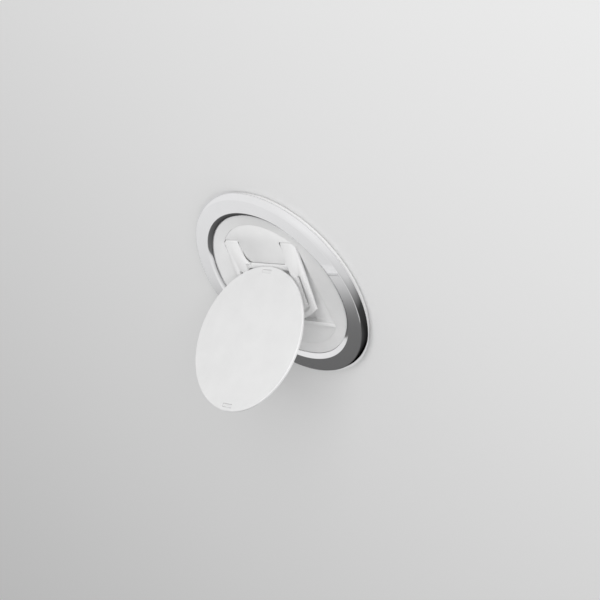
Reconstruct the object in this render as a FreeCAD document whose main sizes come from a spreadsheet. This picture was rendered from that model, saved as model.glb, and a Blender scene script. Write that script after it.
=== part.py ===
import FreeCAD, Part
import os
import re
import Sketcher

# Folding magnetic phone grip, modelled in its open kickstand pose, in millimetres.
# Origin: centre of the contact face. +Z points away from the contact face, out of the open side.
# +Y points from the base's centre towards the hinge of the swing frame, and X is the hinges' direction.
# Three hinges parallel to X carry the disc: base to swing frame, swing frame to strut, strut to disc.
# Frame, strut and disc are drawn folded flat in the base and then turned open about their pins.

V = FreeCAD.Vector
doc = FreeCAD.newDocument("phone_grip")
sheet = doc.addObject("Spreadsheet::Sheet", "sizes")

SIZES = [
    # Stack of the base, heights above the contact face
    ("pad_radius", 26.8),
    ("pad_thick", 0.25),
    ("pad_edge", 0.10),
    ("film_inset", 0.30),
    ("film_thick", 0.10),
    ("ledge_height", 2.26),
    ("tray_height", 2.10),
    ("total_height", 3.45),
    # Housing and metal bezel
    ("housing_radius", 27.35),
    ("housing_edge", 0.20),
    ("bezel_height", 1.56),
    ("bezel_bore", 21.75),
    ("bezel_slope_radius", 23.08),
    ("bezel_slope_drop", 0.60),
    ("bezel_top_radius", 26.97),
    ("bezel_top_edge", 0.06),
    ("bezel_foot_radius", 28.20),
    ("bezel_foot_edge", 0.15),
    ("bezel_shoulder_drop", 0.73),
    ("bezel_shoulder_radius", 27.75),
    ("bezel_gap", 0.06),
    ("lip_radius", 20.80),
    ("lip_rise", 0.40),
    # Magnets under the bezel
    ("magnet_inner", 23.30),
    ("magnet_outer", 26.60),
    ("magnet_thick", 1.00),
    ("magnet_count", 16),
    ("magnet_spacing", 0.40),
    ("shunt_thick", 0.25),
    ("magnet_play", 0.10),
    # Tray set in the middle of the housing
    ("pocket_radius", 18.70),
    ("pocket_half", 14.10),
    ("tray_gap", 0.03),
    ("flange_radius", 21.30),
    ("flange_thick", 0.30),
    ("leg_floor", 1.25),
    ("well_floor", 0.65),
    ("well_half", 6.90),
    ("tongue_half", 7.85),
    ("tongue_end", 6.80),
    ("tongue_corner", 2.25),
    ("ridge_y", -11.20),
    ("ridge_width", 1.15),
    ("ridge_height", 2.20),
    ("ramp_radius", 0.80),
    ("scoop_reach", 5.20),
    ("scoop_depth", 1.60),
    ("keeper_radius", 2.00),
    ("keeper_thick", 1.20),
    ("keeper_x", 5.20),
    ("keeper_offset", 2.82),
    # Screws that hold the tray's flange
    ("screw_x", 17.60),
    ("screw_y", 8.00),
    ("screw_head", 0.90),
    ("screw_shank", 0.50),
    ("screw_depth", 1.15),
    # Pins, knuckles and washers
    ("pin_radius", 0.40),
    ("pin_height", 1.45),
    ("knuckle_radius", 0.65),
    ("running_gap", 0.05),
    ("leg_play", 0.25),
    ("hinge_play", 0.17),
    ("strap_play", 0.30),
    ("seat_gap", 0.02),
    ("pin_seat", 2.50),
    ("pin_stop", 0.52),
    ("pin_recess", 0.15),
    ("washer_radius", 0.60),
    ("washer_thick", 0.20),
    ("washer_gap", 0.05),
    # Swing frame
    ("arm_pin_inset", 5.92),
    ("arm_tilt", 9.60),
    ("leg_inner", 8.20),
    ("leg_outer", 13.50),
    ("frame_thick", 0.70),
    ("rim_radius", 23.50),
    ("rim_center_y", 14.20),
    ("rim_width", 1.40),
    ("slit_width", 0.50),
    ("slit_inner_x", 7.50),
    ("slit_outer_x", 11.50),
    ("slot_inner", 10.35),
    ("slot_width", 1.30),
    ("slot_top", 4.30),
    ("slot_bottom", -4.00),
    ("notch_bottom", 6.50),
    ("notch_corner", 2.60),
    ("crossbar_width", 1.60),
    ("strap_wall", 0.40),
    ("strap_low", 0.50),
    ("strap_thick", 0.38),
    ("foot_bar_gap", 0.25),
    ("trough_play", 0.20),
    # Strut
    ("strut_foot_y", -5.55),
    ("strut_tilt", 82.03),
    ("strut_head_y", 4.00),
    ("rail_inner", 4.50),
    ("rail_outer", 6.35),
    ("web_low", -3.20),
    ("web_high", 1.40),
    ("web_window", 2.40),
    ("web_border", 1.20),
    ("web_root", 0.20),
    ("rail_depth", 0.30),
    ("lug_inner", 2.00),
    ("lug_outer", 4.20),
    # Disc
    ("disc_radius", 19.16),
    ("disc_thick", 0.80),
    ("disc_top", 3.34),
    ("disc_tilt", 55.23),
    ("disc_edge", 0.18),
    ("disc_rim", 2.26),
    ("bracket_thick", 0.30),
    ("clip_half", 1.75),
    ("clip_gap", 0.45),
    ("clip_depth", 0.80),
    ("clip_recess", 0.10),
    ("clip_play", 0.06),
    ("bracket_play", 0.05),
    ("rivet_x", 9.00),
    ("rivet_y", 9.00),
    ("rivet_head", 0.80),
    ("rivet_head_thick", 0.15),
    ("rivet_shank", 0.40),
    ("rivet_depth", 0.55),
]
for row, (alias, value) in enumerate(SIZES, start=1):
    sheet.set(f"A{row}", alias)
    sheet.set(f"B{row}", f"{value}")
    sheet.setAlias(f"B{row}", alias)
doc.recompute()


def linked(expression):
    """Put the sheet's name before each size that the expression uses."""
    known = {alias for alias, _ in SIZES}
    return re.sub(
        r"[a-z_]+",
        lambda match: "sizes." + match.group() if match.group() in known else match.group(),
        expression,
    )


def bind(obj, **expressions):
    """Tie properties of obj to expressions in the sheet's sizes; a double underscore stands for a dot."""
    for prop, expression in expressions.items():
        obj.setExpression(prop.replace("__", "."), linked(expression))
    return obj


def box(name, x_low, x_high, y_low, y_high, z_low, z_high):
    """Block between the given planes, each a text expression."""
    obj = doc.addObject("Part::Box", name)
    return bind(
        obj,
        Length=f"( {x_high} ) - ( {x_low} )",
        Width=f"( {y_high} ) - ( {y_low} )",
        Height=f"( {z_high} ) - ( {z_low} )",
        Placement__Base__x=x_low,
        Placement__Base__y=y_low,
        Placement__Base__z=z_low,
    )


def disc_z(name, radius, z_low, z_high, at_x="0", at_y="0"):
    """Upright cylinder."""
    obj = doc.addObject("Part::Cylinder", name)
    return bind(
        obj,
        Radius=radius,
        Height=f"( {z_high} ) - ( {z_low} )",
        Placement__Base__x=at_x,
        Placement__Base__y=at_y,
        Placement__Base__z=z_low,
    )


def rod_x(name, radius, x_low, x_high, at_y, at_z="pin_height"):
    """Cylinder along X."""
    obj = doc.addObject("Part::Cylinder", name)
    obj.Placement = FreeCAD.Placement(V(0, 0, 0), FreeCAD.Rotation(V(0, 1, 0), 90))
    return bind(
        obj,
        Radius=radius,
        Height=f"( {x_high} ) - ( {x_low} )",
        Placement__Base__x=x_low,
        Placement__Base__y=at_y,
        Placement__Base__z=at_z,
    )


def fuse(name, *shapes):
    """Union of the shapes."""
    obj = doc.addObject("Part::MultiFuse", name)
    obj.Shapes = list(shapes)
    obj.Refine = True
    return obj


def common(name, *shapes):
    """Intersection of the shapes."""
    obj = doc.addObject("Part::MultiCommon", name)
    obj.Shapes = list(shapes)
    return obj


def cut(name, base, *tools):
    """Base without the tools."""
    obj = doc.addObject("Part::Cut", name)
    obj.Base = base
    obj.Tool = tools[0] if len(tools) == 1 else fuse(name + "_tools", *tools)
    obj.Refine = True
    return obj


def compound(name, *shapes):
    """Separate solids kept as one sub-part."""
    obj = doc.addObject("Part::Compound", name)
    obj.Links = list(shapes)
    return obj


def both_sides(name, maker):
    """Two shapes made by maker for the right (+X) side and the left (-X) side."""
    return maker(name + "_right", 1), maker(name + "_left", -1)


def side_span(side, near, far):
    """Low and high X of a piece that lies between near and far on one side of the middle."""
    return (near, far) if side > 0 else (f"-1 * ( {far} )", f"-1 * ( {near} )")


def side_box(name, side, near, far, *rest):
    """Block on one side of the middle plane."""
    return box(name, *side_span(side, near, far), *rest)


def side_rod(name, side, radius, near, far, at_y, at_z="pin_height"):
    """Cylinder along X on one side of the middle plane."""
    return rod_x(name, radius, *side_span(side, near, far), at_y, at_z)


def side_x(side, distance):
    """X of a point at the given distance on one side."""
    return distance if side > 0 else f"-1 * ( {distance} )"


def turned(label, points):
    """Body of revolution about Z: a closed section of (radius, height) expressions."""
    body = doc.addObject("PartDesign::Body", label)
    sketch = body.newObject("Sketcher::SketchObject", label + "_section")
    planes = [item for item in body.Origin.OriginFeatures if item.Role == "XZ_Plane"]
    sketch.AttachmentSupport = [(planes[0], "")]
    sketch.MapMode = "FlatFace"
    sizes = dict(SIZES)
    start = [[float(start_value(text, sizes)) for text in point] for point in points]
    count = len(points)
    for i in range(count):
        first, second = start[i], start[(i + 1) % count]
        sketch.addGeometry(Part.LineSegment(V(first[0], first[1], 0), V(second[0], second[1], 0)), False)
    for i in range(count):
        sketch.addConstraint(Sketcher.Constraint("Coincident", i, 2, (i + 1) % count, 1))
    for i, point in enumerate(points):
        for kind, text, value in zip(("DistanceX", "DistanceY"), point, start[i]):
            index = sketch.addConstraint(Sketcher.Constraint(kind, -1, 1, i, 1, value))
            sketch.setExpression(f"Constraints[{index}]", linked(text))
    turn = body.newObject("PartDesign::Revolution", label + "_turn")
    turn.Profile = sketch
    turn.ReferenceAxis = (sketch, ["V_Axis"])
    turn.Angle = 360
    return body


def start_value(text, sizes):
    """Number that a sum of sizes stands for, to start a sketch near its final shape."""
    total, sign = 0.0, 1
    for word in text.split():
        if word in "+-":
            sign = 1 if word == "+" else -1
        else:
            total += sign * (sizes[word] if word in sizes else float(word))
            sign = 1
    return total


nodes = []


def keep(label, obj):
    """Name a finished sub-part."""
    obj.Label = label
    nodes.append(obj)
    return obj


# Heights that several sub-parts share
BOTTOM = "pad_thick + film_thick"
SEAT = "total_height - bezel_height"
FRAME_TOP = "pin_height + knuckle_radius"
FRAME_LOW = "pin_height + knuckle_radius - frame_thick"
DISC_LOW = "disc_top - disc_thick"
PLATE_LOW = "disc_top - disc_thick + bracket_thick"
ARM_Y = "(pocket_radius - arm_pin_inset)"
KEEPER_Y = f"{ARM_Y} + keeper_offset"
PIN_END = f"sqrt(pocket_radius ^ 2 - ({ARM_Y} + pin_radius) ^ 2) - pin_stop"
PIN_SPAN = ("-1 * rail_outer + pin_recess", "rail_outer - pin_recess")
RAIL_BORE_SPAN = ("-1 * rail_outer - 1", "rail_outer + 1")
BRACKET_RADIUS = "disc_radius - disc_rim"
CLIP_Y = "disc_radius - disc_rim + clip_gap"
RIDGE_FAR = "ridge_y - ridge_width"
FOOT_BAR = "strut_foot_y - knuckle_radius - foot_bar_gap"
TRENCH_SIDE = "leg_outer + leg_play"
HINGE_CUT = f"{ARM_Y} + knuckle_radius + hinge_play"
HINGE_LOW = f"{ARM_Y} - knuckle_radius - leg_play"


def barrel(name, play, z_low, z_high):
    """Prism of the pocket's outline: a round plate with two straight sides."""
    round_part = disc_z(name + "_round", f"pocket_radius - {play}", z_low, z_high)
    square_part = box(
        name + "_square",
        f"-1 * pocket_half + {play}", f"pocket_half - {play}",
        "-1 * pocket_radius", "pocket_radius",
        z_low, z_high,
    )
    return common(name, round_part, square_part)


def ring(name, inner, outer, z_low, z_high):
    """Flat ring about Z."""
    return cut(
        name,
        disc_z(name + "_outer", outer, z_low, z_high),
        disc_z(name + "_inner", inner, f"{z_low} - 1", f"{z_high} + 1"),
    )


def round_ended(name, half, end, corner, y_high, z_low, z_high):
    """Block from end up to y_high whose two lower corners are rounded."""
    return fuse(
        name,
        box(name + "_middle", f"{corner} - ({half})", f"{half} - ({corner})", end, y_high, z_low, z_high),
        box(name + "_wide", f"-1 * ({half})", half, f"{end} + {corner}", y_high, z_low, z_high),
        *both_sides(name + "_corner", lambda corner_name, side: disc_z(
            corner_name, corner, z_low, z_high, side_x(side, f"{half} - ({corner})"), f"{end} + {corner}")),
    )


def make_pad():
    """Soft contact face and the film that bonds it to the housing."""
    keep("contact_pad", turned("pad", [
        ("0", "0"),
        ("pad_radius - pad_edge", "0"),
        ("pad_radius", "pad_edge"),
        ("pad_radius", "pad_thick"),
        ("0", "pad_thick"),
    ]))
    keep("bond_film", disc_z("film", "pad_radius - film_inset", "pad_thick", BOTTOM))


def make_bezel():
    """Metal ring: a slope up from the ledge, a flat top and a shoulder that flares to the foot."""
    keep("bezel_ring", turned("bezel", [
        ("bezel_bore", SEAT),
        ("bezel_foot_radius", SEAT),
        ("bezel_foot_radius", f"{SEAT} + bezel_foot_edge"),
        ("bezel_shoulder_radius", "total_height - bezel_shoulder_drop"),
        ("bezel_top_radius + bezel_top_edge", "total_height - bezel_top_edge"),
        ("bezel_top_radius", "total_height"),
        ("bezel_slope_radius", "total_height"),
        ("bezel_bore", "total_height - bezel_slope_drop"),
    ]))


def make_magnets():
    """Arc magnets in a circle under the bezel and the steel ring that closes their field."""
    pitch = "360 / magnet_count"
    sectors = []
    for i in range(int(dict(SIZES)["magnet_count"])):
        sector = disc_z(f"magnet_sector_{i}", "magnet_outer", BOTTOM, f"{BOTTOM} + magnet_thick")
        bind(
            sector,
            Angle=f"{pitch} - magnet_spacing / magnet_inner * 180 / pi",
            Placement__Rotation__Angle=f"{i} * {pitch}",
        )
        sectors.append(sector)
    inside = disc_z("magnet_inside", "magnet_inner", f"{BOTTOM} - 1", f"{BOTTOM} + magnet_thick + 1")
    magnets = cut("magnets", compound("magnet_sectors", *sectors), inside)
    keep("ring_magnets", magnets)
    shunt_low = f"{BOTTOM} + magnet_thick"
    keep("shunt_ring", ring(
        "shunt", "magnet_inner", "magnet_outer", shunt_low, f"{shunt_low} + shunt_thick"))
    keep("closing_magnets", compound("closing", *(
        disc_z(f"closing_{i}", "keeper_radius", BOTTOM, f"{BOTTOM} + keeper_thick", x, KEEPER_Y)
        for i, x in enumerate(("keeper_x", "-1 * keeper_x"))
    )))


def screw_places():
    """Centres of the four screws."""
    return [(x, y) for x in ("screw_x", "-1 * screw_x") for y in ("screw_y", "-1 * screw_y")]


def screw(name, x, y, play):
    """Countersunk screw, or with play the hole for it."""
    head = doc.addObject("Part::Cone", name + "_head")
    bind(
        head,
        Radius1=f"screw_head + {play}",
        Radius2=f"screw_shank + {play}",
        Height="flange_thick",
        Placement__Base__x=x,
        Placement__Base__y=y,
        Placement__Base__z=BOTTOM,
    )
    shank = disc_z(
        name + "_shank", f"screw_shank + {play}",
        f"{BOTTOM} + flange_thick", f"{BOTTOM} + flange_thick + screw_depth + {play}", x, y,
    )
    return fuse(name, head, shank)


def make_housing():
    """Plastic ring under the bezel with the ledge on which the closed disc lies."""
    blank = turned("housing_blank", [
        ("0", BOTTOM),
        ("housing_radius - housing_edge", BOTTOM),
        ("housing_radius", f"{BOTTOM} + housing_edge"),
        ("housing_radius", SEAT),
        ("bezel_bore - bezel_gap", SEAT),
        ("bezel_bore - bezel_gap", "ledge_height + lip_rise"),
        ("lip_radius", "ledge_height"),
        ("0", "ledge_height"),
    ])
    channel = ring(
        "magnet_channel", "magnet_inner - magnet_play", "magnet_outer + magnet_play",
        f"{BOTTOM} - 0.01", f"{BOTTOM} + magnet_thick + shunt_thick + running_gap",
    )
    rebate = disc_z(
        "flange_rebate", "flange_radius + magnet_play",
        f"{BOTTOM} - 0.01", f"{BOTTOM} + flange_thick + 0.01",
    )
    hole = barrel("pocket_hole", "0", "0", "total_height")
    screws = [screw(f"housing_screw_{i}", x, y, "seat_gap") for i, (x, y) in enumerate(screw_places())]
    keep("dish_housing", cut("housing", blank, channel, rebate, hole, *screws))
    keep("tray_screws", compound("screws", *(
        screw(f"tray_screw_{i}", x, y, "0") for i, (x, y) in enumerate(screw_places())
    )))


def scoop_ring():
    """Torus about Z whose underside presses the scoop's bowl down from the pocket's edge."""
    tube = "(scoop_reach * scoop_reach / scoop_depth + scoop_depth) / 2"
    obj = doc.addObject("Part::Torus", "scoop_ring")
    return bind(
        obj,
        Radius1="pocket_radius - scoop_reach",
        Radius2=tube,
        Placement__Base__z=f"ledge_height - scoop_depth + {tube}",
    )


def make_tray():
    """Insert that fills the pocket: seats for the folded linkage, end ridge, scoop and hinge ears."""
    slab = barrel("tray_slab", "tray_gap", BOTTOM, "leg_floor")
    flange = disc_z("tray_flange", "flange_radius", BOTTOM, f"{BOTTOM} + flange_thick")
    land = box(
        "tray_land", "-1 * pocket_half", "pocket_half", HINGE_CUT, "pocket_radius", BOTTOM, "tray_height")
    tongue = round_ended(
        "tray_tongue", "tongue_half", "tongue_end", "tongue_corner", "pocket_radius", BOTTOM, "tray_height")
    ridge = box(
        "tray_ridge", "-1 * pocket_half", "pocket_half", RIDGE_FAR, "ridge_y", BOTTOM, "ridge_height")
    end = box("tray_end", "-1 * pocket_half", "pocket_half", "-1 * pocket_radius", RIDGE_FAR,
              BOTTOM, "ledge_height")
    corners = both_sides("tray_corner", lambda name, side: side_box(
        name, side, TRENCH_SIDE, "pocket_half", HINGE_LOW, "pocket_radius", BOTTOM, "tray_height"))
    ramps = both_sides("tray_ramp", lambda name, side: cut(
        name,
        side_box(name + "_block", side, "well_half", "pocket_half",
                 "ridge_y", "ridge_y + ramp_radius", "leg_floor", "leg_floor + ramp_radius"),
        side_rod(name + "_round", side, "ramp_radius", "well_half - 1", "pocket_half + 1",
                 "ridge_y + ramp_radius", "leg_floor + ramp_radius"),
    ))
    inside = barrel("tray_limit", "tray_gap", BOTTOM, "total_height")
    raised = common(
        "tray_raised", inside, fuse("tray_blocks", land, tongue, ridge, end, *corners, *ramps))
    well = box(
        "tray_well", "-1 * well_half", "well_half", "ridge_y", "tongue_end", "well_floor", "total_height")
    trench = both_sides("tray_trench", lambda name, side: side_box(
        name, side, "tongue_half", TRENCH_SIDE, HINGE_LOW, HINGE_CUT, "well_floor", "total_height"))
    strap_room = box(
        "tray_strap_room",
        "-1 * leg_inner - strap_wall - strap_play", "leg_inner + strap_wall + strap_play",
        "notch_bottom - crossbar_width - strap_play", "tongue_end", "0", "total_height",
    )
    scoop_block = box("tray_scoop_block", "-1 * pocket_half - 1", "pocket_half + 1",
                      "-1 * pocket_radius - 1", RIDGE_FAR, "0", "total_height")
    scoop = common("tray_scoop", scoop_ring(), scoop_block)
    pin_start = "tongue_half - pin_seat - seat_gap"
    pins = both_sides("tray_pin_hole", lambda name, side: side_rod(
        name, side, "pin_radius + seat_gap", pin_start, "pocket_half", ARM_Y))
    magnet_low, magnet_high = f"{BOTTOM} - 0.01", f"{BOTTOM} + keeper_thick + running_gap"
    magnets = [
        disc_z(f"tray_magnet_{i}", "keeper_radius + seat_gap", magnet_low, magnet_high, x, KEEPER_Y)
        for i, x in enumerate(("keeper_x", "-1 * keeper_x"))
    ]
    screws = [screw(f"flange_screw_{i}", x, y, "seat_gap") for i, (x, y) in enumerate(screw_places())]
    solid = fuse("tray_solid", slab, flange, raised)
    keep("hinge_tray", cut("tray", solid, well, strap_room, scoop, *trench, *pins, *magnets, *screws))


def washer(name, side, near, at_y):
    """Friction washer on a pin, in the gap that starts at near."""
    low, high = f"{near} + washer_gap", f"{near} + washer_gap + washer_thick"
    return cut(
        name,
        side_rod(name + "_outer", side, "washer_radius", low, high, at_y),
        side_rod(name + "_bore", side, "pin_radius + seat_gap", f"{low} - 1", f"{high} + 1", at_y),
    )


def make_arm_pins():
    """Two pins and their washers, which carry the swing frame in the tray."""
    keep("arm_pins", compound("arm_pin_pair", *both_sides("arm_pin", lambda name, side: side_rod(
        name, side, "pin_radius", "tongue_half - pin_seat", PIN_END, ARM_Y))))
    inner = both_sides("arm_washer_inner", lambda name, side: washer(name, side, "tongue_half", ARM_Y))
    keep("arm_washers", compound("arm_washer_set", *inner))


def open_pose(obj, turn, angle, closed_y, rest_y, rest_z):
    """Turn a piece drawn folded flat about its pin, and put the pin at its place in the open pose."""
    obj.Placement = FreeCAD.Placement(V(0, 0, 0), FreeCAD.Rotation(V(turn, 0, 0), 30))
    turned_y = f"({closed_y}) * cos({angle}) - {turn} * pin_height * sin({angle})"
    turned_z = f"{turn} * ({closed_y}) * sin({angle}) + pin_height * cos({angle})"
    return bind(
        obj,
        Placement__Rotation__Angle=angle,
        Placement__Base__y=f"{rest_y} - ({turned_y})",
        Placement__Base__z=f"{rest_z} - ({turned_z})",
    )


FOOT_Y = f"{ARM_Y} - ({ARM_Y} - strut_foot_y) * cos(arm_tilt)"
FOOT_Z = f"pin_height + ({ARM_Y} - strut_foot_y) * sin(arm_tilt)"
HEAD_Y = f"{FOOT_Y} + (strut_head_y - strut_foot_y) * cos(strut_tilt)"
HEAD_Z = f"{FOOT_Z} + (strut_head_y - strut_foot_y) * sin(strut_tilt)"


def with_arm(obj):
    """Piece that moves with the swing frame."""
    return open_pose(obj, -1, "arm_tilt", ARM_Y, ARM_Y, "pin_height")


def with_strut(obj):
    """Piece that moves with the strut."""
    return open_pose(obj, 1, "strut_tilt", "strut_foot_y", FOOT_Y, FOOT_Z)


def with_disc(obj):
    """Piece that moves with the disc."""
    return open_pose(obj, -1, "disc_tilt", "strut_head_y", HEAD_Y, HEAD_Z)


def make_frame():
    """Swing frame: two slotted legs, a round lower rim, a low crossbar and the strut's lugs."""
    plate = common(
        "frame_plate",
        box("frame_block", "-1 * leg_outer", "leg_outer", "rim_center_y - rim_radius", HINGE_LOW,
            FRAME_LOW, FRAME_TOP),
        disc_z("frame_round", "rim_radius", FRAME_LOW, FRAME_TOP, "0", "rim_center_y"),
    )
    necks = both_sides("frame_neck", lambda name, side: side_box(
        name, side, "leg_inner", "leg_outer", f"{HINGE_LOW} - 0.01", ARM_Y, FRAME_LOW, FRAME_TOP))
    knuckles = both_sides("frame_knuckle", lambda name, side: side_rod(
        name, side, "knuckle_radius", "leg_inner", "leg_outer", ARM_Y))
    strap = box("frame_strap", "-1 * leg_inner - strap_wall", "leg_inner + strap_wall",
                "notch_bottom - crossbar_width", "notch_bottom", "strap_low", FRAME_TOP)
    lugs = both_sides("frame_lug", lambda name, side: fuse(
        name,
        side_rod(name + "_eye", side, "knuckle_radius", "lug_inner", "lug_outer", "strut_foot_y"),
        side_box(name + "_root", side, "lug_inner", "lug_outer",
                 f"{FOOT_BAR} - 1", "strut_foot_y", FRAME_LOW, FRAME_TOP),
    ))
    opening = box("frame_opening", "-1 * leg_inner", "leg_inner", FOOT_BAR, "notch_bottom - crossbar_width",
                  "0", "total_height")
    notch = round_ended("frame_notch", "leg_inner", "notch_bottom", "notch_corner", f"{ARM_Y} + 2",
                        "0", "total_height")
    slit_far, slit_near = "rim_radius - rim_width", "rim_radius - rim_width - slit_width"
    slit_band = cut(
        "slit_band",
        disc_z("slit_outside", slit_far, "0", "total_height", "0", "rim_center_y"),
        disc_z("slit_inside", slit_near, "-1", "total_height + 1", "0", "rim_center_y"),
    )
    slit_blocks = both_sides("slit_block", lambda name, side: side_box(
        name, side, "slit_inner_x", "slit_outer_x", "rim_center_y - rim_radius", "0", "0", "total_height"))
    slits = common("frame_slits", slit_band, fuse("slit_blocks", *slit_blocks))
    slots = both_sides("frame_slot", lambda name, side: fuse(
        name,
        side_box(name + "_middle", side, "slot_inner", "slot_inner + slot_width",
                 "slot_bottom + slot_width / 2", "slot_top - slot_width / 2", "0", "total_height"),
        disc_z(name + "_top", "slot_width / 2", "0", "total_height",
               side_x(side, "slot_inner + slot_width / 2"), "slot_top - slot_width / 2"),
        disc_z(name + "_bottom", "slot_width / 2", "0", "total_height",
               side_x(side, "slot_inner + slot_width / 2"), "slot_bottom + slot_width / 2"),
    ))
    trough = box(
        "frame_trough", "-1 * leg_inner", "leg_inner",
        "notch_bottom - crossbar_width - trough_play", "notch_bottom + trough_play",
        "strap_low + strap_thick", "total_height",
    )
    arm_bores = both_sides("frame_arm_bore", lambda name, side: side_rod(
        name, side, "pin_radius + running_gap", "leg_inner - 1", "leg_outer + 1", ARM_Y))
    foot_bore = rod_x(
        "frame_foot_bore", "pin_radius + seat_gap", "-1 * lug_outer - 1", "lug_outer + 1", "strut_foot_y")
    sheet_part = fuse("frame_sheet", plate, *necks, strap)
    blank = cut("frame_blank", sheet_part, opening, notch, slits, trough, *slots)
    solid = common("frame_limit", disc_z("frame_reach", "pocket_radius - strap_play", "0", "total_height"),
                   fuse("frame_solid", blank, *knuckles, *lugs))
    frame = cut("frame", solid, *arm_bores, foot_bore)
    keep("swing_frame", with_arm(frame))
    foot_pin = rod_x("foot_pin", "pin_radius", *PIN_SPAN, "strut_foot_y")
    keep("strut_pin", with_arm(compound("foot_pin_set", foot_pin)))
    keep("strut_washers", with_arm(compound("foot_washers", *both_sides(
        "foot_washer", lambda name, side: washer(name, side, "lug_outer", "strut_foot_y")))))


def make_strut():
    """Strut: two rails with round ends, joined by a web with a window."""
    rails = both_sides("strut_rail", lambda name, side: fuse(
        name,
        side_box(name + "_bar", side, "rail_inner", "rail_outer", "strut_foot_y", "strut_head_y",
                 "pin_height - rail_depth", FRAME_TOP),
        side_rod(name + "_foot", side, "knuckle_radius", "rail_inner", "rail_outer", "strut_foot_y"),
        side_rod(name + "_head", side, "knuckle_radius", "rail_inner", "rail_outer", "strut_head_y"),
    ))
    web = box("strut_web", "-1 * rail_inner - web_root", "rail_inner + web_root", "web_low", "web_high",
              FRAME_LOW, FRAME_TOP)
    window = box("strut_window", "-1 * web_window", "web_window", "web_low + web_border",
                 "web_high - web_border", "0", "total_height")
    foot = rod_x("strut_foot_bore", "pin_radius + running_gap", *RAIL_BORE_SPAN, "strut_foot_y")
    head = rod_x("strut_head_bore", "pin_radius + seat_gap", *RAIL_BORE_SPAN, "strut_head_y")
    keep("strut_frame", with_strut(cut("strut", fuse("strut_solid", *rails, web), window, foot, head)))
    head_pin = rod_x("head_pin", "pin_radius", *PIN_SPAN, "strut_head_y")
    keep("disc_pin", with_strut(compound("head_pin_set", head_pin)))
    keep("disc_washers", with_strut(compound("head_washers", *both_sides(
        "head_washer", lambda name, side: washer(name, side, "lug_outer", "strut_head_y")))))


def rivet_places():
    """Centres of the four rivets."""
    return [(x, y) for x in ("rivet_x", "-1 * rivet_x") for y in ("rivet_y", "-1 * rivet_y")]


def clip_boxes(name, play, y_near, y_far, z_low, z_high):
    """Blocks at the top and the bottom of the disc, for its two clips."""
    span = (f"-1 * clip_half - {play}", f"clip_half + {play}")
    return [
        box(name + "_top", *span, y_near, y_far, z_low, z_high),
        box(name + "_bottom", *span, f"-1 * ( {y_far} )", f"-1 * ( {y_near} )", z_low, z_high),
    ]


def make_disc():
    """Round front plate and the steel bracket behind it, with lugs, clips and rivets."""
    blank = turned("plate_blank", [
        ("0", DISC_LOW),
        ("disc_radius - disc_edge", DISC_LOW),
        ("disc_radius", f"{DISC_LOW} + disc_edge"),
        ("disc_radius", "disc_top - disc_edge"),
        ("disc_radius - disc_edge", "disc_top"),
        ("0", "disc_top"),
    ])
    seat = disc_z("plate_seat", f"{BRACKET_RADIUS} + bracket_play", f"{DISC_LOW} - 0.01", PLATE_LOW)
    slots = clip_boxes("plate_slot", "clip_play", f"{CLIP_Y} - clip_play",
                       f"{CLIP_Y} + clip_depth + clip_play", f"{DISC_LOW} - 0.01", "disc_top + 0.01")
    necks = clip_boxes(
        "plate_neck", "clip_play", f"{BRACKET_RADIUS} - 1", CLIP_Y, f"{DISC_LOW} - 0.01", PLATE_LOW)
    hole_end = f"{DISC_LOW} + rivet_depth + seat_gap"
    holes = [
        disc_z(f"plate_hole_{i}", "rivet_shank + seat_gap", DISC_LOW, hole_end, x, y)
        for i, (x, y) in enumerate(rivet_places())
    ]
    keep("disc_plate", with_disc(cut("plate", blank, seat, *slots, *necks, *holes)))

    sheet_part = disc_z("bracket_sheet", BRACKET_RADIUS, DISC_LOW, PLATE_LOW)
    tongues = clip_boxes(
        "bracket_tongue", "0", f"{BRACKET_RADIUS} - 1", f"{CLIP_Y} + clip_depth", DISC_LOW, PLATE_LOW)
    clips = clip_boxes(
        "bracket_clip", "0", CLIP_Y, f"{CLIP_Y} + clip_depth", DISC_LOW, "disc_top - clip_recess")
    lugs = both_sides("bracket_lug", lambda name, side: fuse(
        name,
        side_rod(name + "_eye", side, "knuckle_radius", "lug_inner", "lug_outer", "strut_head_y"),
        side_box(name + "_root", side, "lug_inner", "lug_outer",
                 "strut_head_y - knuckle_radius", "strut_head_y + knuckle_radius", "pin_height", PLATE_LOW),
    ))
    bore = rod_x(
        "bracket_bore", "pin_radius + running_gap", "-1 * lug_outer - 1", "lug_outer + 1", "strut_head_y")
    rivet_holes = [
        disc_z(f"bracket_hole_{i}", "rivet_shank + seat_gap", f"{DISC_LOW} - 1", "disc_top", x, y)
        for i, (x, y) in enumerate(rivet_places())
    ]
    solid = fuse("bracket_solid", sheet_part, *tongues, *clips, *lugs)
    keep("disc_bracket", with_disc(cut("bracket", solid, bore, *rivet_holes)))
    keep("bracket_rivets", with_disc(compound("rivets", *(
        fuse(
            f"rivet_{i}",
            disc_z(f"rivet_head_{i}", "rivet_head", f"{DISC_LOW} - rivet_head_thick", DISC_LOW, x, y),
            disc_z(f"rivet_shank_{i}", "rivet_shank", DISC_LOW, f"{DISC_LOW} + rivet_depth", x, y),
        )
        for i, (x, y) in enumerate(rivet_places())
    ))))


make_pad()
make_bezel()
make_magnets()
make_housing()
make_tray()
make_arm_pins()
make_frame()
make_strut()
make_disc()
doc.recompute()

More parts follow.
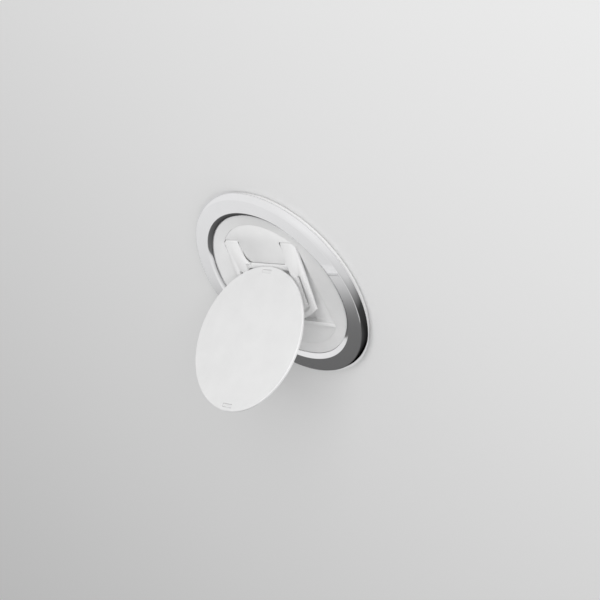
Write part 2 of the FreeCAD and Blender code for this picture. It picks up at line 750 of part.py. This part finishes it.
for obj in doc.Objects:
    if "Invalid" in obj.State or "Error" in obj.State:
        raise RuntimeError(f"{obj.Label} failed: {obj.State}")
os.makedirs("parts", exist_ok=True)
for obj in nodes:
    if obj.Shape.isNull() or not obj.Shape.isValid():
        raise RuntimeError(f"{obj.Label} has no valid shape")
    bounds = obj.Shape.BoundBox
    print(
        f"{obj.Label:16s} {len(obj.Shape.Solids):3d} solids  {obj.Shape.Volume:9.3f} mm3  "
        f"y {bounds.YMin:7.2f} {bounds.YMax:7.2f}  z {bounds.ZMin:6.2f} {bounds.ZMax:6.2f}"
    )
    obj.Shape.exportStep(f"parts/{obj.Label}.step")
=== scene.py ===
import logging
import math
from dataclasses import dataclass, field
from enum import Enum
from typing import Iterable, Sequence

import bmesh
import bpy
from mathutils import Matrix, Vector


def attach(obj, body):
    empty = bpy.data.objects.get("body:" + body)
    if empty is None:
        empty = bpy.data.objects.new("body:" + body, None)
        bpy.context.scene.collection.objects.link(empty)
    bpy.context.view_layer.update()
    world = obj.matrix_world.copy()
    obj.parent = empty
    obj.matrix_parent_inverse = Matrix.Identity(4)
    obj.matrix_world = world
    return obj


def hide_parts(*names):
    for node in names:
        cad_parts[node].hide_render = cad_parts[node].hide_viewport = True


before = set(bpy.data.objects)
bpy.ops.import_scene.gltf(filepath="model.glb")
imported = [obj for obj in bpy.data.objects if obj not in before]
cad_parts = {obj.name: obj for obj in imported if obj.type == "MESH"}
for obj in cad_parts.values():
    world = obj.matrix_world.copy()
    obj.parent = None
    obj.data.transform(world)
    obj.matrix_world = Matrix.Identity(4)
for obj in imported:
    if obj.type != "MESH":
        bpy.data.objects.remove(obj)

LOG = logging.getLogger("phone_grip")
MM = 0.001


class Body(Enum):
    """Rigid bodies of the grip, as the motion model names them."""

    BASE = "base"
    ARM = "arm"
    STRUT = "strut"
    DISC = "disc"


class Grain(Enum):
    """How a finish's fine marks run."""

    EVEN = "even"
    TURNED = "turned"
    LENGTHWISE = "lengthwise"


def socket(shader: bpy.types.Node, name: str, value: float | Sequence[float]) -> None:
    """Set one input of a shader.

    Args:
        shader: Node whose input is set.
        name: Name of the input.
        value: Number or colour.
    """
    shader.inputs[name].default_value = value


@dataclass(frozen=True)
class Finish:
    """A surface finish: colour, gloss and the fine marks that a moulding or a metal sheet shows.

    Sizes of the marks are in millimetres.
    """

    name: str
    colour: tuple[float, float, float]
    roughness: float
    metallic: float = 0.0
    coat: float = 0.0
    mottle: float = 0.02
    mottle_size: float = 6.0
    gloss_spread: float = 0.06
    mark_size: float = 0.25
    mark_depth: float = 0.002
    mark_bump: float = 0.4
    grain: Grain = Grain.EVEN
    grain_stretch: float = 0.05
    coat_roughness: float = 0.12
    subsurface: float = 0.0
    subsurface_depth: float = 0.6
    blotch_span: tuple[float, float] = (0.3, 0.7)

    def material(self) -> bpy.types.Material:
        """Build the finish's material.

        Returns:
            A node material on Object coordinates.
        """
        made = bpy.data.materials.new(self.name)
        made.use_nodes = True
        tree = made.node_tree
        shader = tree.nodes["Principled BSDF"]
        socket(shader, "Metallic", self.metallic)
        socket(shader, "Coat Weight", self.coat)
        socket(shader, "Coat Roughness", self.coat_roughness)
        socket(shader, "Subsurface Weight", self.subsurface)
        socket(shader, "Subsurface Radius", (1.0, 1.0, 1.0))
        socket(shader, "Subsurface Scale", self.subsurface_depth * MM)
        place = tree.nodes.new("ShaderNodeTexCoord").outputs["Object"]
        self.paint(tree, shader, place)
        self.polish(tree, shader, self.marks(tree, place))
        return made

    def noise(
        self, tree: bpy.types.NodeTree, place: bpy.types.NodeSocket, size: float, detail: float
    ) -> bpy.types.Node:
        """Add a noise texture.

        Args:
            tree: Node tree of the material.
            place: Output that gives the position.
            size: Size of one blotch in millimetres.
            detail: Octaves of finer noise.

        Returns:
            The noise node.
        """
        node = tree.nodes.new("ShaderNodeTexNoise")
        socket(node, "Scale", 1.0 / (size * MM))
        socket(node, "Detail", detail)
        tree.links.new(place, node.inputs["Vector"])
        return node

    def paint(self, tree: bpy.types.NodeTree, shader: bpy.types.Node, place: bpy.types.NodeSocket) -> None:
        """Colour with faint blotches.

        Args:
            tree: Node tree of the material.
            shader: Surface shader.
            place: Output that gives the position.
        """
        blotch = self.noise(tree, place, self.mottle_size, 3.0)
        ramp = tree.nodes.new("ShaderNodeValToRGB")
        low, high = ramp.color_ramp.elements
        low.position, high.position = self.blotch_span
        low.color = (*(c * (1.0 - self.mottle) for c in self.colour), 1.0)
        high.color = (*(min(1.0, c * (1.0 + self.mottle)) for c in self.colour), 1.0)
        tree.links.new(blotch.outputs["Fac"], ramp.inputs["Fac"])
        tree.links.new(ramp.outputs["Color"], shader.inputs["Base Color"])

    def marks(self, tree: bpy.types.NodeTree, place: bpy.types.NodeSocket) -> bpy.types.NodeSocket:
        """Height pattern of the fine marks.

        Args:
            tree: Node tree of the material.
            place: Output that gives the position.

        Returns:
            Output between 0 and 1.
        """
        if self.grain is Grain.TURNED:
            split = tree.nodes.new("ShaderNodeSeparateXYZ")
            flat = tree.nodes.new("ShaderNodeCombineXYZ")
            length = tree.nodes.new("ShaderNodeVectorMath")
            length.operation = "LENGTH"
            tree.links.new(place, split.inputs[0])
            tree.links.new(split.outputs["X"], flat.inputs["X"])
            tree.links.new(split.outputs["Y"], flat.inputs["Y"])
            tree.links.new(flat.outputs[0], length.inputs[0])
            rings = tree.nodes.new("ShaderNodeTexNoise")
            rings.noise_dimensions = "1D"
            socket(rings, "Scale", 1.0 / (self.mark_size * MM))
            socket(rings, "Detail", 2.0)
            tree.links.new(length.outputs["Value"], rings.inputs["W"])
            return rings.outputs["Fac"]
        if self.grain is Grain.LENGTHWISE:
            stretch = tree.nodes.new("ShaderNodeMapping")
            socket(stretch, "Scale", (self.grain_stretch, 1.0, 1.0))
            tree.links.new(place, stretch.inputs["Vector"])
            place = stretch.outputs["Vector"]
        return self.noise(tree, place, self.mark_size, 2.0).outputs["Fac"]

    def polish(self, tree: bpy.types.NodeTree, shader: bpy.types.Node, height: bpy.types.NodeSocket) -> None:
        """Roughness and bump from the fine marks.

        Args:
            tree: Node tree of the material.
            shader: Surface shader.
            height: Output of the marks' height.
        """
        spread = tree.nodes.new("ShaderNodeMapRange")
        socket(spread, "To Min", max(0.02, self.roughness - self.gloss_spread / 2))
        socket(spread, "To Max", self.roughness + self.gloss_spread / 2)
        bump = tree.nodes.new("ShaderNodeBump")
        socket(bump, "Strength", self.mark_bump)
        socket(bump, "Distance", self.mark_depth * MM)
        tree.links.new(height, spread.inputs["Value"])
        tree.links.new(spread.outputs["Result"], shader.inputs["Roughness"])
        tree.links.new(height, bump.inputs["Height"])
        tree.links.new(bump.outputs["Normal"], shader.inputs["Normal"])


# The disc face's white is set darker than the base's and the frame's whites. This is painted shade,
# offsetting the stronger light that falls on the disc's tilted face.
DISC_WHITE_SHADED = Finish("disc_white_painted_shade", (0.77, 0.77, 0.77), 0.36, coat=0.15, subsurface=0.05)
WHITE_BASE = Finish("base_white", (0.83, 0.83, 0.83), 0.38, coat=0.10, subsurface=0.05)
WHITE_FRAME = Finish("frame_white", (0.84, 0.84, 0.84), 0.34, coat=0.15, subsurface=0.05)
BRIGHT_METAL = Finish(
    "bezel_metal", (0.90, 0.90, 0.91), 0.07, metallic=1.0, mottle=0.01, gloss_spread=0.02,
    mark_size=0.08, mark_depth=0.0002, grain=Grain.TURNED,
)
WHITE_COAT = Finish("white_coat", (0.74, 0.74, 0.74), 0.48, mark_size=0.12, mark_depth=0.003)
PLAIN_STEEL = Finish(
    "plain_steel", (0.60, 0.60, 0.61), 0.34, metallic=1.0, mark_size=0.12, mark_depth=0.002,
    grain=Grain.LENGTHWISE,
)
GROUND_STEEL = Finish(
    "ground_steel", (0.68, 0.68, 0.69), 0.24, metallic=1.0, mark_size=0.06, mark_depth=0.001,
)
NICKEL = Finish(
    "nickel_plate", (0.70, 0.68, 0.64), 0.22, metallic=1.0, mark_size=0.30, mark_depth=0.001,
)
ACETAL = Finish("dark_acetal", (0.05, 0.05, 0.055), 0.45, mark_size=0.10, mark_depth=0.001)
SILICONE = Finish(
    "soft_silicone", (0.70, 0.70, 0.69), 0.62, mottle=0.03, mark_size=0.08, mark_depth=0.004,
    subsurface=0.10,
)
FILM = Finish("bonding_film", (0.66, 0.66, 0.63), 0.30, mark_size=0.8, mark_depth=0.004)


class Finishes:
    """Materials that are made once and shared by the pieces."""

    made: dict[str, bpy.types.Material] = {}

    @classmethod
    def get(cls, finish: Finish) -> bpy.types.Material:
        """The finish's material, built on its first use."""
        if finish.name not in cls.made:
            cls.made[finish.name] = finish.material()
        return cls.made[finish.name]


@dataclass
class Piece:
    """One dressed piece of the grip."""

    name: str
    body: Body
    slot: str
    finish: Finish
    nodes: tuple[str, ...]

    def show(self, shape: bmesh.types.BMesh, smooth_angle: float = 32.0) -> bpy.types.Object:
        """Turn a finished shape into an object that rides its body and stands for its nodes.

        Args:
            shape: Mesh in the grip's frame, in metres. It is freed here.
            smooth_angle: Edges flatter than this many degrees are shaded smooth.

        Returns:
            The object.
        """
        bmesh.ops.recalc_face_normals(shape, faces=shape.faces)
        limit = math.radians(smooth_angle)
        for face in shape.faces:
            face.smooth = True
        for edge in shape.edges:
            edge.smooth = len(edge.link_faces) == 2 and edge.calc_face_angle(0.0) < limit
        mesh = bpy.data.meshes.new(self.name)
        shape.to_mesh(mesh)
        shape.free()
        mesh.materials.append(Finishes.get(self.finish))
        made = bpy.data.objects.new(self.name, mesh)
        bpy.context.scene.collection.objects.link(made)
        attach(made, self.body.value)
        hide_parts(*self.nodes)
        LOG.info("%s: %d faces", self.name, len(mesh.polygons))
        return made


def held(
    profile: list[tuple[float, float]], reach: float = 0.35, inset: float = 0.03
) -> list[tuple[float, float]]:
    """Add points near the ends of long straight runs, so that smooth shading keeps them flat.

    Args:
        profile: Closed outline as (radius, height) points in millimetres.
        reach: Runs longer than this get the points, in millimetres.
        inset: Distance of the points from the run's ends in millimetres.

    Returns:
        The outline with the added points.
    """
    full = []
    for (r0, z0), (r1, z1) in zip(profile, profile[1:] + profile[:1]):
        full.append((r0, z0))
        length = math.hypot(r1 - r0, z1 - z0)
        if length > reach:
            share = inset / length
            full.append((r0 + (r1 - r0) * share, z0 + (z1 - z0) * share))
            full.append((r1 - (r1 - r0) * share, z1 - (z1 - z0) * share))
    return full


def spun(profile: Iterable[tuple[float, float]], steps: int = 160) -> bmesh.types.BMesh:
    """Solid of revolution about the ring's axis.

    Args:
        profile: Closed outline as (radius, height) points in millimetres.
        steps: Steps round the full turn.

    Returns:
        The mesh in metres.
    """
    shape = bmesh.new()
    points = [shape.verts.new((r * MM, 0.0, z * MM)) for r, z in held(list(profile))]
    edges = [shape.edges.new((points[i], points[(i + 1) % len(points)])) for i in range(len(points))]
    bmesh.ops.spin(shape, geom=points + edges, cent=(0, 0, 0), axis=(0, 0, 1), dvec=(0, 0, 0),
                   angle=2 * math.pi, steps=steps, use_merge=True, use_duplicate=False)
    bmesh.ops.remove_doubles(shape, verts=shape.verts, dist=1e-7)
    bmesh.ops.recalc_face_normals(shape, faces=shape.faces)
    return shape


def softened(
    shape: bmesh.types.BMesh, width: float, angle: float = 35.0, segments: int = 2
) -> bmesh.types.BMesh:
    """Round the sharp edges of a shape.

    Args:
        shape: Closed mesh in metres.
        width: Width of the rounding in millimetres.
        angle: Edges sharper than this many degrees are rounded.
        segments: Steps across the rounding.

    Returns:
        The same mesh.
    """
    limit = math.radians(angle)
    sharp = [e for e in shape.edges if len(e.link_faces) == 2 and e.calc_face_angle(0.0) > limit]
    bmesh.ops.bevel(shape, geom=sharp, offset=width * MM, offset_type="OFFSET", segments=segments,
                    profile=0.5, affect="EDGES", clamp_overlap=True, material=-1)
    return shape


def from_node(node: str) -> bmesh.types.BMesh:
    """Clean copy of a construction node: joined, with its flat faces whole.

    Args:
        node: Name of the node.

    Returns:
        The mesh in metres.
    """
    shape = bmesh.new()
    shape.from_mesh(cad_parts[node].data)
    bmesh.ops.remove_doubles(shape, verts=shape.verts, dist=1e-6)
    bmesh.ops.dissolve_limit(shape, angle_limit=math.radians(0.6), verts=shape.verts, edges=shape.edges,
                             use_dissolve_boundaries=False)
    return shape


def arc(
    centre: tuple[float, float], radius: float, start: float, stop: float, steps: int
) -> list[tuple[float, float]]:
    """Points on an arc of a section.

    Args:
        centre: Centre as (radius, height) in millimetres.
        radius: Radius in millimetres.
        start: First angle in degrees, from the outward direction.
        stop: Last angle in degrees.
        steps: Number of steps.

    Returns:
        The points from start to stop.
    """
    return [
        (
            centre[0] + radius * math.cos(math.radians(start + (stop - start) * i / steps)),
            centre[1] + radius * math.sin(math.radians(start + (stop - start) * i / steps)),
        )
        for i in range(steps + 1)
    ]


def bowed(
    start: tuple[float, float], stop: tuple[float, float], bulge: float, steps: int
) -> list[tuple[float, float]]:
    """Points of a gently bulging run of a section, without its first point.

    Args:
        start: First point as (radius, height) in millimetres.
        stop: Last point.
        bulge: Height of the bulge at the middle in millimetres, outwards.
        steps: Number of steps.

    Returns:
        The points after start, up to stop.
    """
    run, drop = stop[0] - start[0], stop[1] - start[1]
    length = math.hypot(run, drop)
    out = (-drop / length * bulge, run / length * bulge)
    shares = [i / steps for i in range(1, steps + 1)]
    swell = [4 * t * (1 - t) for t in shares]
    return [
        (start[0] + run * t + out[0] * lift, start[1] + drop * t + out[1] * lift)
        for t, lift in zip(shares, swell)
    ]


@dataclass
class RingBase:
    """Contact pad, housing, bezel, tray and what they hold. Sizes in millimetres."""

    pad_radius: float = 26.8
    pad_top: float = 0.25
    pad_round: float = 0.12
    film_inset: float = 0.30
    film_top: float = 0.35
    total_height: float = 3.45
    bezel_low: float = 1.89
    bezel_bore: float = 21.75
    bezel_slope_radius: float = 23.08
    bezel_slope_drop: float = 0.60
    bezel_slope_bulge: float = 0.05
    bezel_bore_edge: float = 0.06
    bezel_top_radius: float = 26.97
    bezel_foot_radius: float = 28.20
    bezel_foot_edge: float = 0.15
    bezel_flare_bulge: float = 0.12
    housing_edge: float = 0.05
    tray_edge: float = 0.06
    built: list[bpy.types.Object] = field(default_factory=list)

    def build(self) -> None:
        """Make every piece of the base."""
        self.pad()
        self.bezel()
        self.mouldings()
        self.hidden_parts()

    def pad(self) -> None:
        """Soft contact face with a rounded lower edge, and its film."""
        low = arc((self.pad_radius - self.pad_round, self.pad_round), self.pad_round, -90, 0, 5)
        pad = Piece("contact_pad_soft", Body.BASE, "pad", SILICONE, ("contact_pad",))
        section = [(0.0, 0.0), *low, (self.pad_radius, self.pad_top), (0.0, self.pad_top)]
        self.built.append(pad.show(spun(section)))
        film = Piece("bond_film_clear", Body.BASE, "film", FILM, ("bond_film",))
        edge = self.pad_radius - self.film_inset
        section = [(0.0, self.pad_top), (edge, self.pad_top), (edge, self.film_top), (0.0, self.film_top)]
        self.built.append(film.show(spun(section)))

    def bezel(self) -> None:
        """Bright ring: a slope up from the ledge, a flat top and a shoulder that flares to the foot."""
        top = self.total_height
        slope_low = (self.bezel_bore + 0.04, top - self.bezel_slope_drop + 0.02)
        flare_low = (self.bezel_foot_radius, self.bezel_low + self.bezel_foot_edge)
        outline = [
            (self.bezel_bore, self.bezel_low),
            (self.bezel_bore, slope_low[1] - self.bezel_bore_edge),
            slope_low,
            *bowed(slope_low, (self.bezel_slope_radius, top), self.bezel_slope_bulge, 6),
            (self.bezel_top_radius, top),
            *bowed((self.bezel_top_radius, top), flare_low, self.bezel_flare_bulge, 10),
            (self.bezel_foot_radius, self.bezel_low),
        ]
        ring = Piece("bezel_ring_bright", Body.BASE, "bezel", BRIGHT_METAL, ("bezel_ring",))
        self.built.append(ring.show(spun(outline, 256), 40.0))

    def mouldings(self) -> None:
        """Housing and tray with softened mould edges."""
        housing = Piece("housing_moulding", Body.BASE, "housing", WHITE_BASE, ("dish_housing",))
        self.built.append(housing.show(softened(from_node("dish_housing"), self.housing_edge)))
        tray = Piece("tray_moulding", Body.BASE, "tray", WHITE_BASE, ("hinge_tray",))
        self.built.append(tray.show(softened(from_node("hinge_tray"), self.tray_edge)))

    def hidden_parts(self) -> None:
        """Magnets, shunt, screws and pins."""
        for name, slot, finish, node in (
            ("ring_magnets_plated", "magnet", NICKEL, "ring_magnets"),
            ("shunt_ring_steel", "shunt", PLAIN_STEEL, "shunt_ring"),
            ("closing_magnets_plated", "magnet", NICKEL, "closing_magnets"),
            ("tray_screws_steel", "screw", PLAIN_STEEL, "tray_screws"),
            ("arm_pins_ground", "pin", GROUND_STEEL, "arm_pins"),
        ):
            self.built.append(Piece(name, Body.BASE, slot, finish, (node,)).show(from_node(node)))


@dataclass
class Linkage:
    """Swing frame and strut with their pins and washers. Sizes in millimetres."""

    mould_edge: float = 0.05
    built: list[bpy.types.Object] = field(default_factory=list)

    def build(self) -> None:
        """Make every piece between the base and the disc."""
        for name, body, slot, finish, node in (
            ("swing_frame_moulding", Body.ARM, "frame", WHITE_FRAME, "swing_frame"),
            ("arm_washers_dark", Body.ARM, "washer", ACETAL, "arm_washers"),
            ("strut_pin_ground", Body.ARM, "pin", GROUND_STEEL, "strut_pin"),
            ("strut_washers_dark", Body.ARM, "washer", ACETAL, "strut_washers"),
            ("strut_moulding", Body.STRUT, "strut", WHITE_FRAME, "strut_frame"),
            ("disc_pin_ground", Body.STRUT, "pin", GROUND_STEEL, "disc_pin"),
            ("disc_washers_dark", Body.STRUT, "washer", ACETAL, "disc_washers"),
        ):
            shape = from_node(node)
            if finish is WHITE_FRAME:
                shape = softened(shape, self.mould_edge)
            self.built.append(Piece(name, body, slot, finish, (node,)).show(shape))


@dataclass
class GripDisc:
    """Front plate of the disc, its bracket and its rivets."""

    built: list[bpy.types.Object] = field(default_factory=list)

    def build(self) -> None:
        """Make every piece that moves with the disc."""
        for name, slot, finish, node in (
            ("disc_face", "disc", DISC_WHITE_SHADED, "disc_plate"),
            ("disc_bracket_coated", "bracket", WHITE_COAT, "disc_bracket"),
            ("bracket_rivets_steel", "rivet", GROUND_STEEL, "bracket_rivets"),
        ):
            self.built.append(Piece(name, Body.DISC, slot, finish, (node,)).show(from_node(node)))


@dataclass
class Studio:
    """Floor, lights and camera. Lengths in metres."""

    lens: float = 83.31
    camera_at: tuple[float, float, float] = (0.2654, 0.1522, 0.1838)
    right: tuple[float, float, float] = (0.6746, -0.4059, -0.6165)
    up: tuple[float, float, float] = (-0.0645, 0.7996, -0.5971)
    back: tuple[float, float, float] = (0.7353, 0.4426, 0.5132)
    far_end: tuple[float, float, float] = (-0.25, -1.00, -0.32)
    sharp_side: tuple[tuple[float, float], ...] = (
        (0.00, 0.85), (0.40, 0.80), (0.45, 0.70), (0.47, 0.15), (0.75, 0.08), (0.95, 0.00),
    )
    soft_side: tuple[tuple[float, float], ...] = (
        (-0.90, 0.90), (-0.20, 0.65), (0.10, 0.30), (0.35, 0.05), (1.00, 0.00),
    )
    blend_reach: float = 0.25
    key_at: tuple[float, float, float] = (0.41, 0.343, 0.389)
    key_size: float = 0.50
    key_power: float = 3.1
    floor_half: float = 3.0
    floor_drop: float = 0.00002
    floor_grey: float = 0.80
    surround: float = 0.50
    backdrop: float = 0.80

    def build(self) -> None:
        """Set up everything round the grip."""
        bpy.context.scene.view_settings.view_transform = "Standard"
        self.floor()
        self.world()
        self.lamp("key_soft", self.key_at, self.key_size, self.key_power)
        self.camera()

    def floor(self) -> None:
        """Plain pale floor on which the contact face rests."""
        shape = bmesh.new()
        bmesh.ops.create_grid(shape, x_segments=1, y_segments=1, size=self.floor_half)
        bmesh.ops.translate(shape, verts=shape.verts, vec=(0.0, 0.0, -self.floor_drop))
        mesh = bpy.data.meshes.new("floor")
        shape.to_mesh(mesh)
        shape.free()
        paint = bpy.data.materials.new("floor_paint")
        paint.use_nodes = True
        shader = paint.node_tree.nodes["Principled BSDF"]
        socket(shader, "Base Color", (self.floor_grey, self.floor_grey, self.floor_grey, 1.0))
        socket(shader, "Roughness", 0.7)
        socket(shader, "Specular IOR Level", 0.0)
        mesh.materials.append(paint)
        floor = bpy.data.objects.new("floor", mesh)
        bpy.context.scene.collection.objects.link(floor)

    def ramp(
        self, tree: bpy.types.NodeTree, reach: bpy.types.NodeSocket, levels: tuple[tuple[float, float], ...]
    ) -> bpy.types.NodeSocket:
        """Brightness of the surroundings from their reach towards the dark end.

        Args:
            tree: Node tree of the world.
            reach: Output of the reach.
            levels: Brightness at each reach, in rising order.

        Returns:
            Output of the brightness.
        """
        low, high = levels[0][0], levels[-1][0]
        share = tree.nodes.new("ShaderNodeMapRange")
        socket(share, "From Min", low)
        socket(share, "From Max", high)
        tree.links.new(reach, share.inputs["Value"])
        node = tree.nodes.new("ShaderNodeValToRGB")
        first, last = node.color_ramp.elements
        for stop, (_, level) in ((first, levels[0]), (last, levels[-1])):
            stop.color = (level, level, level, 1.0)
        for place, level in levels[1:-1]:
            stop = node.color_ramp.elements.new((place - low) / (high - low))
            stop.color = (level, level, level, 1.0)
        tree.links.new(share.outputs["Result"], node.inputs["Fac"])
        return node.outputs["Color"]

    def world(self) -> None:
        """Even pale surroundings and backdrop. Reflections see a studio that falls off to a dark end."""
        world = bpy.data.worlds.new("studio")
        world.use_nodes = True
        tree = world.node_tree
        shade = tree.nodes["Background"]
        place = tree.nodes.new("ShaderNodeTexCoord")
        toward = tree.nodes.new("ShaderNodeVectorMath")
        toward.operation = "DOT_PRODUCT"
        toward.inputs[1].default_value = self.far_end
        tree.links.new(place.outputs["Generated"], toward.inputs[0])
        split = tree.nodes.new("ShaderNodeSeparateXYZ")
        tree.links.new(place.outputs["Generated"], split.inputs[0])
        side = tree.nodes.new("ShaderNodeMapRange")
        socket(side, "From Min", self.blend_reach)
        socket(side, "From Max", -self.blend_reach)
        tree.links.new(split.outputs["X"], side.inputs["Value"])
        blend = tree.nodes.new("ShaderNodeMix")
        blend.data_type = "RGBA"
        tree.links.new(side.outputs["Result"], blend.inputs["Factor"])
        tree.links.new(self.ramp(tree, toward.outputs["Value"], self.soft_side), blend.inputs["A"])
        tree.links.new(self.ramp(tree, toward.outputs["Value"], self.sharp_side), blend.inputs["B"])
        path = tree.nodes.new("ShaderNodeLightPath")
        mix = tree.nodes.new("ShaderNodeMix")
        mix.data_type = "RGBA"
        mix.inputs["A"].default_value = (self.surround, self.surround, self.surround, 1.0)
        tree.links.new(path.outputs["Is Glossy Ray"], mix.inputs["Factor"])
        tree.links.new(blend.outputs["Result"], mix.inputs["B"])
        seen = tree.nodes.new("ShaderNodeMix")
        seen.data_type = "RGBA"
        seen.inputs["B"].default_value = (self.backdrop, self.backdrop, self.backdrop, 1.0)
        tree.links.new(path.outputs["Is Camera Ray"], seen.inputs["Factor"])
        tree.links.new(mix.outputs["Result"], seen.inputs["A"])
        tree.links.new(seen.outputs["Result"], shade.inputs["Color"])
        bpy.context.scene.world = world

    def lamp(self, name: str, at: tuple[float, float, float], size: float, power: float) -> None:
        """Soft area lamp aimed at the grip.

        Args:
            name: Name of the lamp.
            at: Place of the lamp.
            size: Side of its square.
            power: Power in watts.
        """
        light = bpy.data.lights.new(name, "AREA")
        light.size = size
        light.energy = power
        made = bpy.data.objects.new(name, light)
        made.location = at
        made.rotation_euler = (-Vector(at)).to_track_quat("-Z", "Y").to_euler()
        made.visible_glossy = False
        bpy.context.scene.collection.objects.link(made)

    def camera(self) -> None:
        """Camera at the photograph's viewing angle."""
        data = bpy.data.cameras.new("camera")
        data.lens = self.lens
        data.sensor_width = 36.0
        data.clip_start, data.clip_end = 0.01, 20.0
        made = bpy.data.objects.new("camera", data)
        turn = Matrix((self.right, self.up, self.back)).transposed().to_4x4()
        made.matrix_world = Matrix.Translation(Vector(self.camera_at)) @ turn
        bpy.context.scene.collection.objects.link(made)
        bpy.context.scene.camera = made


def main() -> None:
    """Build the grip and the studio."""
    logging.basicConfig(level=logging.INFO, format="%(name)s %(message)s")
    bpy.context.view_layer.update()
    for part in (RingBase(), Linkage(), GripDisc()):
        part.build()
        LOG.info("%s: %d pieces", type(part).__name__, len(part.built))
    Studio().build()
    bpy.context.view_layer.update()


if __name__ == "__main__":
    main()
